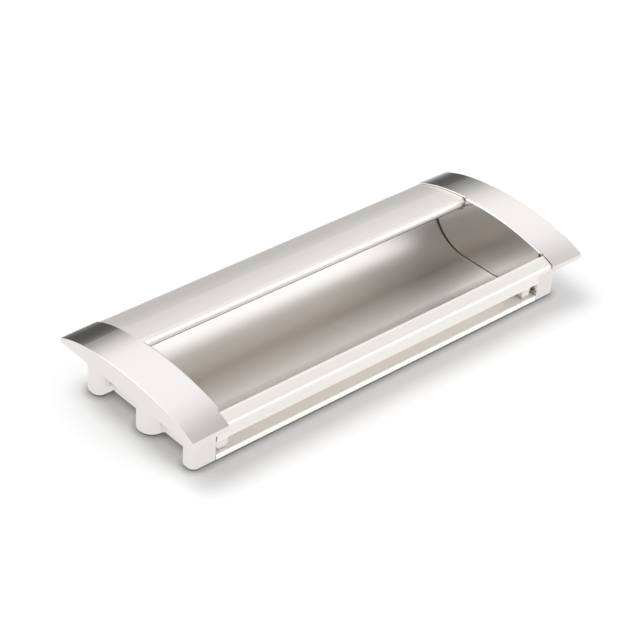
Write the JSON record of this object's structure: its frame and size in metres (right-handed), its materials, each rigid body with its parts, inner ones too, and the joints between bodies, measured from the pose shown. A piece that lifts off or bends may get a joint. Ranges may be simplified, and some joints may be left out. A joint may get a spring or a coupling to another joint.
{
  "type": "recessed handle",
  "caption": "Recessed furniture handle: an extruded finger trough under an arched lip, closed by a cast cap at each end.",
  "frame": {"origin": "middle of the handle, level with the undersides of its feet; the face of the panel lies 13 mm above it", "axes": "+X along the handle towards the right end cap, +Y from the front rail towards the lip, +Z out of the panel"},
  "size_m": [0.1436, 0.056, 0.02],
  "materials": {
    "profile_finish": "satin anodised extrusion",
    "cap_finish": "satin nickel plated casting"
  },
  "bodies": {
    "root": {"centre_profile": "profile_finish", "right_end_cap": "cap_finish", "left_end_cap": "cap_finish"}
  },
  "joints": []
}
